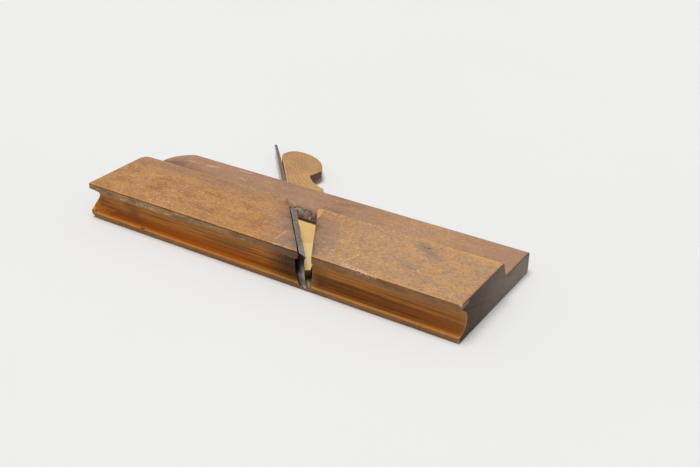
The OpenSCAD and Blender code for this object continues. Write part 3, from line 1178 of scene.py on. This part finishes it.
def scratch_group():
    """Fine scratches in three directions: noise drawn out to thin lines and kept only where it peaks."""
    tree, given, out = new_group("fine_scratches", {"Vector": "Vector", "Amount": "Float"}, ["Scratched"])
    highest = 0.0
    for angle, apart in [(0.35, 0.0), (-0.6, 3.0), (1.35, 7.0)]:
        turn = turn_about_z(tree, given["Vector"], angle)
        moved = vector_node(tree, "ADD", turn, (apart, apart, apart))
        lines = blotches(tree, moved, (45, 2600, 400), (0.7, 0.79), 1.0, 0.5)
        highest = math_node(tree, "MAXIMUM", highest, lines)
    return put_out(tree, out, Scratched=math_node(tree, "MULTIPLY", highest, given["Amount"]))


def stroke_group():
    """One mark: 1 on the line from its start to its end, falling to 0 at its width."""
    inputs = {"Vector": "Vector", "Start": "Vector", "Run": "Vector", "Width": "Float"}
    tree, given, out = new_group("stroke", inputs, ["Mark"])
    run = given["Run"]
    off = vector_node(tree, "SUBTRACT", given["Vector"], given["Start"])
    along = vector_node(tree, "DOT_PRODUCT", off, run)
    whole = vector_node(tree, "DOT_PRODUCT", run, run)
    share = add(tree, "ShaderNodeClamp", {0: math_node(tree, "DIVIDE", along, whole)}).outputs[0]
    gap = vector_node(tree, "DISTANCE", off, scaled(tree, run, share))
    return put_out(tree, out, Mark=between(tree, gap, 0.0, given["Width"], 1.0, 0.0))


def swirl_group():
    """Rings round a small knot: a wave of the distance from its middle that dies out at its reach."""
    inputs = {"Vector": "Vector", "Middle": "Vector", "Spacing": "Float", "Reach": "Float"}
    tree, given, out = new_group("knot_swirl", inputs, ["Swirl"])
    away = vector_node(tree, "DISTANCE", given["Vector"], given["Middle"])
    turns = math_node(tree, "MULTIPLY", math_node(tree, "DIVIDE", away, given["Spacing"]), 2 * math.pi)
    ring = between(tree, math_node(tree, "COSINE", turns), -0.2, 0.8)
    fade = between(tree, away, 0.0, given["Reach"], 1.0, 0.0)
    return put_out(tree, out, Swirl=math_node(tree, "MULTIPLY", ring, fade))


# Marks on the stock: a start, an end and a width in stock millimetres

def on_face(z, rows):
    """Marks on a face at height z, from rows of the start's x and y, the end's x and y and the width."""
    return [((x, y, z), (end_x, end_y, z), width) for x, y, end_x, end_y, width in rows]


MARKS = {
    "pale": on_face(THICK, [
        (129.5, 3.5, 129.5, 15.5, 1.0),
        (152, 15.5, 155.5, 17, 0.7),
        (158, 22, 162.5, 22.5, 0.7),
        (133, 46.5, 140, 47.5, 1.1),
        (160, 47, 164.5, 46.5, 0.9),
        (2, 28.5, 2, 29.5, 0.9),
    ]) + on_face(GRIP_THICK, [
        (12.5, 73, 17.5, 73.5, 1.0),
        (30.5, 74, 35.5, 74.5, 0.9),
        (71, 75, 75.5, 75, 0.9),
        (101, 62, 105.5, 58, 0.8),
    ]),
    "gold": on_face(THICK, [
        (171.5, 4, 174, 10, 0.7),
        (174, 10, 175, 15.5, 0.7),
    ]) + on_face(CHEEK, [
        (146, 10.5, 153, 2, 0.9),
    ]),
    "white": on_face(THICK, [
        (208, 17, 208.5, 17, 1.0),
        (171, 20.5, 171, 21, 0.9),
        (190, 4.5, 190.5, 4.5, 0.9),
        (169.5, 6, 170, 6, 0.9),
        (161.5, 11.5, 162, 11.5, 0.9),
        (131, 0.5, 135, 1, 0.7),
        (138, 1, 141.5, 0.5, 0.7),
        (44, 3.5, 44.5, 3.5, 0.8),
        (51, 6.5, 51.5, 6.5, 0.8),
        (47, 6, 47.5, 6, 0.8),
        (53, 7, 54.5, 7.5, 0.8),
        (63, 27, 63.5, 27, 0.8),
        (126, 9, 126.5, 9, 0.8),
    ]) + [
        ((240.5, 0.5, THICK), (241, 0, 21.5), 1.3),
        ((241, 1, 18), (241, 2, 17.5), 1.0),
        ((241, 0.5, 1), (241, 1, 1.5), 0.9),
        ((107, 57, 11.5), (107.5, 57.5, 12), 1.0),
        ((109, 57, 11.5), (109.5, 57.5, 12), 1.0),
        ((117.5, 55, 9.5), (118, 55, 9.5), 1.1),
        ((119.5, 57, 11.5), (119.5, 57.5, 12), 0.9),
    ],
    "dust": on_face(GRIP_THICK, [
        (28, 73, 38, 76.5, 1.3),
        (48, 79, 58, 79.5, 1.1),
        (56, 70.5, 61, 69.5, 1.1),
    ]) + on_face(THICK, [
        (174, 2, 185, 1, 2.6),
        (185, 0.5, 193, 0, 2.0),
    ]) + [
        ((24, 0, 18.4), (28.5, 0, 18.5), 1.1),
        ((36.5, 0, 18.4), (49, 0, 18.7), 1.2),
    ],
    "shade": on_face(GRIP_THICK, [
        (6, 65, 14, 68.5, 5.0),
    ]) + [
        ((22.5, 6.5, 10.5), (28.5, 6.5, 8.5), 5.0),
    ],
    "spots": on_face(THICK, [
        (199, 40.5, 199.5, 40.5, 0.7),
        (201.5, 41, 202, 41, 0.7),
    ]) + [
        ((2.5, 1, 4.5), (3, 1, 4.5), 1.2),
        ((38.5, 0.5, 3.4), (40, 0.5, 3.4), 1.3),
    ],
    "grey": on_face(THICK, [
        (140, 3, 120, 28, 15.0),
        (154, 3, 131, 43, 3.0),
        (154, 16, 141, 34, 12.0),
        (200, 19, 204, 18, 6.0),
        (199, 41, 209, 34, 7.0),
    ]),
    "stain": [
        ((LENGTH, 1.5, 21), (LENGTH, 6.5, 21), 3.0),
    ],
}
SWIRL = (104, 65, GRIP_THICK)
SWIRL_REACH = 6.0
SWIRL_SPACING = 1.3


def marks(tree, group, vector, strokes):
    """Highest of all the strokes of a list."""
    highest = 0.0
    for start, end, width in strokes:
        begin = to_part(np.array(start)).tolist()
        run = ((np.array(end) - np.array(start)) * MM).tolist()
        stroke = use_group(tree, group, Vector=vector, Start=begin, Run=run, Width=width * MM)["Mark"]
        highest = math_node(tree, "MAXIMUM", highest, stroke)
    return highest


# Materials

END_FADE = 80
ROOF_FADE = 4
STOCK_PITH = (0.0, 0.2, 0.03)
STOCK_RINGS = 3.1
WEDGE_PITH = (NOTCH_U + 15.5, 21.5, TANG_HIGH)
WEDGE_RINGS = 1.6
LINE_START = 0.4
LINE_FADE = 1.5
LINE_RAGGED = 0.6
MARK_RAGGED = 1.6
STOCK_GRAIN = 0.12
WEDGE_GRAIN = 0.1
IRON_GRAIN = 0.15


def stock_sole(tree, place, blotch):
    """Streaked orange-brown of the hollow: greyer high up with painted shade, deeper orange low down with
    painted bounce light, a golden rim that is a painted highlight, and dark at the mouth.
    """
    streak = blotches(tree, place, (15, 800, 800), (0.42, 0.66), 4.0, 0.62)
    sole = paint(
        tree, mix_colour(tree, streak, (213, 138, 55), (137, 85, 35)),
        ((160, 116, 66), 0.6, blotch),
        # Greyer high up: painted shade
        ((174, 128, 76), 0.5, "high"),
    )
    deep = mix_colour(tree, streak, (216, 116, 14), (176, 88, 14))
    return paint(
        tree, sole,
        # Deeper orange low down: painted bounce light
        (deep, 0.75, "low"),
        ((92, 56, 30), 0.45, "toe_low"),
        # Golden rim: painted highlight
        ((226, 154, 52), 0.85, "rim_highlight", ("front", 0.75)),
        ((54, 38, 30), 0.85, "mouth"),
    )


def stock_lips(tree, blotch, speck):
    """Brown of the lips, lighter and specked towards the heel and dark at the mouth."""
    brown = mix_colour(tree, blotch, (146, 103, 61), (113, 77, 45))
    light = mix_colour(tree, blotch, (172, 127, 79), (112, 82, 53))
    return paint(
        tree, mix_colour(tree, mask(tree, "front"), brown, light),
        ((204, 192, 172), 0.7, speck, ("front", 0.2)),
        ((62, 44, 37), 0.9, "mouth"),
        # Orange low on the lips: painted bounce light
        ((112, 58, 10), 0.58, "low"),
    )


def stock_ends(tree, place, figure, stain):
    """End grain, darker towards the sole with painted shade and grey towards the top, with faint rings and
    one pale stain.
    """
    grain = between(tree, figure["Mottle"], 0.3, 0.7)
    low = mix_colour(tree, grain, (61, 51, 47), (46, 39, 36))
    high = mix_colour(tree, grain, (147, 138, 129), (126, 117, 109))
    sole = stock_low[1] * MM
    # Darker towards the sole: the end grain's own dark tone with painted shade
    rise = between(tree, axis_of(tree, place, "Y"), sole, sole + END_FADE * MM)
    return paint(
        tree, mix_colour(tree, rise, low, high),
        ((60, 50, 46), 0.15, figure["Rings"]),
        ((190, 150, 98), 0.7, stain),
    )


def throat_roof(tree, place):
    """Rough cut of the throat's roof, brown beside the wedge and grey towards the grip's face."""
    rough_cut = blotches(tree, place, (420, 420, 420), (0.36, 0.62), 3.0, 0.65)
    near_wedge = mix_colour(tree, rough_cut, (74, 52, 40), (130, 98, 78))
    near_face = mix_colour(tree, rough_cut, (84, 72, 67), (156, 142, 136))
    foot = (stock_low[1] + ROOF_Y) * MM
    rise = between(tree, axis_of(tree, place, "Y"), foot, foot + ROOF_FADE * MM)
    return mix_colour(tree, rise, near_wedge, near_face)


def stock_wood(effects):
    """Old beech: orange-brown, mottled and flecked, paler towards the toe and greyer on the grip. The sole,
    the lips, the ends and the throat have tones of their own, some with painted shade and painted highlights.
    Dirt lies round the throat, dirt and painted shade at the step's foot, and most marks lie over it all."""
    material, tree, shader = new_material("stock_wood")
    place = object_place(tree)
    figure = use_group(
        tree, effects["figure"], Vector=place,
        Pith=STOCK_PITH, Stretch=(0.02, 1, 1), Ring_Spacing=STOCK_RINGS * MM,
    )
    worn = use_group(tree, effects["wear"], Vector=place, Edge=mask(tree, "wear"), Amount=0.42)["Worn"]
    dirty = use_group(tree, effects["dirt"], Vector=place, Dirt=mask(tree, "grime"), Amount=0.8)["Dirty"]
    scratched = use_group(tree, effects["scratches"], Vector=place, Amount=0.5)["Scratched"]
    ragged = shaken(tree, place, (600, 600, 600), MARK_RAGGED * MM)
    drawn = {name: marks(tree, effects["stroke"], ragged, strokes) for name, strokes in MARKS.items()}
    swirl = use_group(
        tree, effects["swirl"], Vector=ragged, Middle=to_part(np.array(SWIRL)).tolist(),
        Spacing=SWIRL_SPACING * MM, Reach=SWIRL_REACH * MM,
    )["Swirl"]
    patchy = blotches(tree, place, (500, 900, 900), (0.36, 0.58), 2.0, 0.6)
    patches = blotches(tree, place, (130, 250, 250), (0.42, 0.6), 3.0, 0.55)
    apart = vector_node(tree, "ADD", place, (0.53, 0.29, 0.41))
    warm = blotches(tree, apart, (120, 230, 230), (0.44, 0.62), 3.0, 0.55)
    blotch = blotches(tree, place, (60, 240, 240), (0.4, 0.7), 4.0, 0.6)
    speck = blotches(tree, place, (190, 1300, 1300), (0.55, 0.66), 3.0, 0.6)
    dust_speck = blotches(tree, place, (900, 1700, 1700), (0.44, 0.56), 2.0, 0.6)
    less_grip = math_node(tree, "MULTIPLY_ADD", mask(tree, "grip"), -0.6, 1.0)
    mottle = between(tree, figure["Mottle"], 0.34, 0.66)
    base = paint(
        tree, mix_colour(tree, mottle, (163, 108, 58), (190, 136, 82)),
        ((146, 94, 52), 0.3, figure["Rings"]),
        ((194, 156, 118), 0.7, "pale"),
        ((160, 124, 103), 0.8, "grip"),
        ((166, 131, 107), 0.62, patches, ("pale", 0.35)),
        ((203, 147, 81), 0.46, warm, less_grip),
        ((112, 74, 46), 0.45, figure["Flecks"], less_grip),
        ((238, 192, 134), 0.46, figure["Glints"], less_grip),
        ((140, 116, 102), 0.8, drawn["grey"], (patches, 0.55)),
        ((140, 116, 102), 0.42, "band"),
    )
    # Each tone is made just before it is laid, because Cycles can hold only so many waiting values
    base = paint(tree, base, (stock_sole(tree, place, blotch), 1.0, "hollow"))
    base = paint(tree, base, (stock_lips(tree, blotch, speck), 0.85, "lip"))
    base = paint(tree, base, (stock_ends(tree, place, figure, drawn["stain"]), 0.92, "end"))
    walls = mix_colour(tree, blotch, (118, 94, 78), (70, 54, 46))
    # Walls and cheek darker, and the cheek's floor near the mouth lighter with painted light
    base = paint(tree, base, (walls, 0.9, "inside"), ((132, 112, 97), 0.8, "lit_ledge"))
    base = paint(tree, base, (throat_roof(tree, place), 0.92, "roof"))
    base = paint(
        tree, base,
        ((214, 200, 180), 0.5, "inside", speck, "wear"),
        # Dirt and painted shade deep in the mortise
        ((30, 21, 16), 0.92, "deep"),
        # Dirt, and on the stock also painted shade at the step's foot and beside the step at the heel
        ((74, 60, 54), 1.0, dirty),
        ((58, 44, 40), 0.4, drawn["shade"]),
        ((222, 178, 120), 0.45, scratched),
        ((190, 146, 98), 0.6, worn),
        # Golden arrises: worn wood with a painted highlight
        ((226, 162, 82), 0.7, "golden", (patchy, 0.3)),
        ((58, 41, 29), 0.85, "brink", (blotch, 0.6)),
        ((84, 46, 29), 0.85, "toe"),
        ((48, 28, 20), 0.9, drawn["spots"]),
        ((206, 172, 140), 0.35, swirl),
        ((226, 184, 130), 0.6, drawn["pale"], patchy),
        ((236, 188, 108), 0.85, drawn["gold"], (patchy, 0.3)),
        ((234, 214, 190), 0.62, drawn["white"], (patchy, 0.4)),
        ((232, 210, 180), 0.66, drawn["dust"], dust_speck),
        ((220, 168, 102), 0.92, "raw", (patchy, 0.65)),
    )
    rough = mix_value(tree, figure["Fibre"], 0.46, 0.64)
    rough = mix_value(tree, dirty, rough, 0.72)
    rough = mix_value(tree, mask(tree, "end"), rough, 0.78)
    sunk = math_node(tree, "MULTIPLY", figure["Flecks"], -0.5)
    height = math_node(tree, "MULTIPLY_ADD", figure["Fibre"], 0.6, sunk)
    height = math_node(tree, "MULTIPLY_ADD", scratched, -0.6, height)
    normal = raised(tree, height, STOCK_GRAIN * MM)
    set_shader(tree, shader, Normal=normal, Base_Color=base, Roughness=rough, Specular_IOR_Level=0.22)
    return material


def wedge_wood(effects):
    """Paler beech with its grain along the wedge and rings that close round the head's beak, golden where it
    has lain inside the stock and dark where it is cut across the grain."""
    material, tree, shader = new_material("wedge_wood")
    place = object_place(tree)
    turn = PITCH - math.pi
    along = turn_about_z(tree, place, turn)
    pith = Matrix.Rotation(turn, 3, "Z") @ Vector(to_part(on_bed(*WEDGE_PITH)))
    figure = use_group(
        tree, effects["figure"], Vector=along,
        Pith=list(pith), Stretch=(0.3, 1, 0.4), Ring_Spacing=WEDGE_RINGS * MM,
    )
    worn = use_group(tree, effects["wear"], Vector=along, Edge=mask(tree, "wear"), Amount=0.62)["Worn"]
    dirty = use_group(tree, effects["dirt"], Vector=along, Dirt=mask(tree, "grime"), Amount=0.6)["Dirty"]
    up = Vector((-math.cos(PITCH), math.sin(PITCH), 0))
    zero = Vector(to_part(on_bed(0, 0, 0))).dot(up)
    # Paler low in the throat: partly paler wood, partly painted light that reaches down the throat
    low_start, low_end = (zero + end * MM for end in PALE_AND_LIT_END)
    low = between(tree, axis_of(tree, along, "X"), low_start, low_end, 1.0, 0.0)
    # Dark line where the wedge goes under the throat's roof: dirt and a painted shadow of the roof's edge
    level = axis_of(tree, shaken(tree, place, (300, 300, 300), LINE_RAGGED * MM), "Y")
    line_low, line_high = ((stock_low[1] + end) * MM for end in DIRT_AND_SHADOW_LINE)
    line_start = between(tree, level, line_low, line_low + LINE_START * MM)
    line_end = between(tree, level, line_high, line_high + LINE_FADE * MM, 1.0, 0.0)
    uneven = blotches(tree, along, (70, 210, 210), (0.36, 0.62), 3.0, 0.55)
    fresh = mix_colour(tree, low, (234, 194, 124), (246, 214, 152))
    fresh = paint(tree, fresh, ((206, 160, 92), 0.12, figure["Rings"]))
    mottle = between(tree, figure["Mottle"], 0.34, 0.66)
    base = paint(
        tree, mix_colour(tree, mottle, (174, 130, 84), (198, 154, 104)),
        ((206, 158, 96), 0.8, "neck"),
        ((144, 100, 62), 0.56, figure["Rings"], uneven),
        ((134, 94, 60), 0.3, figure["Flecks"]),
        (fresh, 1.0, "inside"),
        ((104, 82, 64), 1.0, dirty),
        # Dirt and painted shadow where the wedge goes under the roof
        ((34, 22, 15), 0.92, line_start, line_end),
        ((224, 180, 122), 0.65, worn),
        ((92, 66, 51), 0.88, "end"),
    )
    rough = mix_value(tree, figure["Fibre"], 0.48, 0.64)
    sunk = math_node(tree, "MULTIPLY", figure["Flecks"], -0.4)
    height = math_node(tree, "MULTIPLY_ADD", figure["Fibre"], 0.6, sunk)
    normal = raised(tree, height, WEDGE_GRAIN * MM)
    set_shader(tree, shader, Normal=normal, Base_Color=base, Roughness=rough, Specular_IOR_Level=0.22)
    return material


def iron_steel(effects):
    """Old tool steel: dark grey skin with brown stain, brighter at its arrises and on the ground bevel, with
    painted highlights low on the bevel, a painted reflection on the tang's back and painted shade higher on
    the bevel."""
    material, tree, shader = new_material("iron_steel")
    place = object_place(tree)
    worn = use_group(tree, effects["wear"], Vector=place, Edge=mask(tree, "wear"), Amount=0.45)["Worn"]
    scratched = use_group(tree, effects["scratches"], Vector=place, Amount=0.8)["Scratched"]
    blotch = noise(tree, place, (140, 140, 140), 5.0, 0.65)
    stain = between(tree, blotch, 0.42, 0.68)
    pits = blotches(tree, place, (900, 900, 900), (0.55, 0.75), 3.0, 0.6)
    spots = blotches(tree, place, (480, 480, 480), (0.42, 0.6), 3.0, 0.6)
    ground = mask(tree, "ground")
    base = paint(
        tree, mix_colour(tree, blotch, (103, 93, 86), (158, 145, 135)),
        ((82, 75, 73), 0.5, spots),
        ((88, 66, 52), 0.55, stain),
        ((112, 90, 76), 0.5, "out"),
        ((48, 42, 38), 0.5, pits),
        ((184, 177, 168), 0.7, worn),
        ((188, 182, 174), 0.35, scratched),
        # Ground bevel: bright steel with painted highlights; tang's back: painted reflection
        ((186, 183, 180), 0.8, ground),
        ((184, 179, 174), 0.7, "back"),
        # Painted shade on the bevel
        ((26, 23, 22), 0.9, "dark"),
    )
    metal = mix_value(tree, stain, 0.95, 0.55)
    rough = mix_value(tree, blotch, 0.32, 0.62)
    rough = mix_value(tree, math_node(tree, "MULTIPLY", ground, 0.6), rough, 0.3)
    rough = mix_value(tree, mask(tree, "back"), rough, 0.4)
    height = math_node(tree, "MULTIPLY_ADD", pits, -0.7, blotch)
    normal = raised(tree, height, IRON_GRAIN * MM)
    set_shader(tree, shader, Normal=normal, Base_Color=base, Roughness=rough, Metallic=metal)
    return material


def floor_paint():
    """Plain pale floor with a faint unevenness."""
    material, tree, shader = new_material("pale_floor")
    uneven = noise(tree, object_place(tree), (3, 3, 3), 3.0)
    base = mix_colour(tree, uneven, (233, 233, 232), (239, 239, 238))
    set_shader(tree, shader, Base_Color=base, Roughness=0.9)
    return material


# Stage

CAMERA_PLACE = (0.29007, -0.41969, 0.27868)
CAMERA_HEADING = 31.59
CAMERA_DIP = 28.11
CAMERA_ROLL = 1.087
CAMERA_LENS = 52.69
CAMERA_SENSOR = 36.0
FLOOR_HALF = 9.0
SKY_LIGHT = 0.36
SKY_SEEN = 0.9
LAMP_LIGHT = 0.655
LAMP_WIDTH = 28
LAMP_TURN = (3.5, -4, 0)


def make_floor():
    """Flat square at the lowest level of the part."""
    corners = np.array([[-1, -1], [1, -1], [1, 1], [-1, 1]]) * FLOOR_HALF
    level = np.full((4, 1), cad_box[0].z)
    mesh = bpy.data.meshes.new("floor")
    mesh.from_pydata(np.concatenate([corners, level], axis=1).tolist(), [], [[0, 1, 2, 3]])
    mesh.materials.append(floor_paint())
    floor = bpy.data.objects.new("floor", mesh)
    bpy.context.scene.collection.objects.link(floor)


def make_camera():
    """Camera at the photograph's angle: heading, dip and roll in degrees."""
    data = bpy.data.cameras.new("camera")
    data.lens = CAMERA_LENS
    data.sensor_width = CAMERA_SENSOR
    camera = bpy.data.objects.new("camera", data)
    heading = Matrix.Rotation(math.radians(CAMERA_HEADING), 4, "Z")
    dip = Matrix.Rotation(math.radians(90 - CAMERA_DIP), 4, "X")
    roll = Matrix.Rotation(math.radians(CAMERA_ROLL), 4, "Z")
    camera.matrix_world = Matrix.Translation(CAMERA_PLACE) @ heading @ dip @ roll
    bpy.context.scene.collection.objects.link(camera)
    bpy.context.scene.camera = camera


def make_light():
    """Soft light from a pale sky and one wide lamp overhead; the camera and reflections see the sky pale."""
    scene = bpy.context.scene
    scene.view_settings.view_transform = "Standard"
    scene.world = bpy.data.worlds.new("studio")
    scene.world.use_nodes = True
    tree = scene.world.node_tree
    ray = add(tree, "ShaderNodeLightPath", {}).outputs
    mirrored = math_node(tree, "MAXIMUM", ray["Is Glossy Ray"], ray["Is Transmission Ray"])
    seen = math_node(tree, "MAXIMUM", ray["Is Camera Ray"], mirrored)
    sky = tree.nodes["Background"]
    sky.inputs["Color"].default_value = (1.0, 1.0, 1.0, 1.0)
    tree.links.new(mix_value(tree, seen, SKY_LIGHT, SKY_SEEN), sky.inputs["Strength"])
    data = bpy.data.lights.new("overhead", "SUN")
    data.energy = LAMP_LIGHT * math.pi
    data.angle = math.radians(LAMP_WIDTH)
    lamp = bpy.data.objects.new("overhead", data)
    lamp.rotation_euler = [math.radians(turn) for turn in LAMP_TURN]
    scene.collection.objects.link(lamp)


def dress(piece, body, node):
    """The piece rides on its body and stands for its node, whose part is hidden."""
    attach(piece, body)
    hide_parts(node)


make_floor()
make_camera()
make_light()
effects = {
    "figure": beech_figure_group(),
    "wear": edge_wear_group(),
    "dirt": dirt_group(),
    "scratches": scratch_group(),
    "stroke": stroke_group(),
    "swirl": swirl_group(),
}
dress(make_stock(stock_wood(effects)), "stock", "stock")
dress(make_wedge(wedge_wood(effects)), "wedge", "wedge")
dress(make_iron(iron_steel(effects)), "iron", "iron")
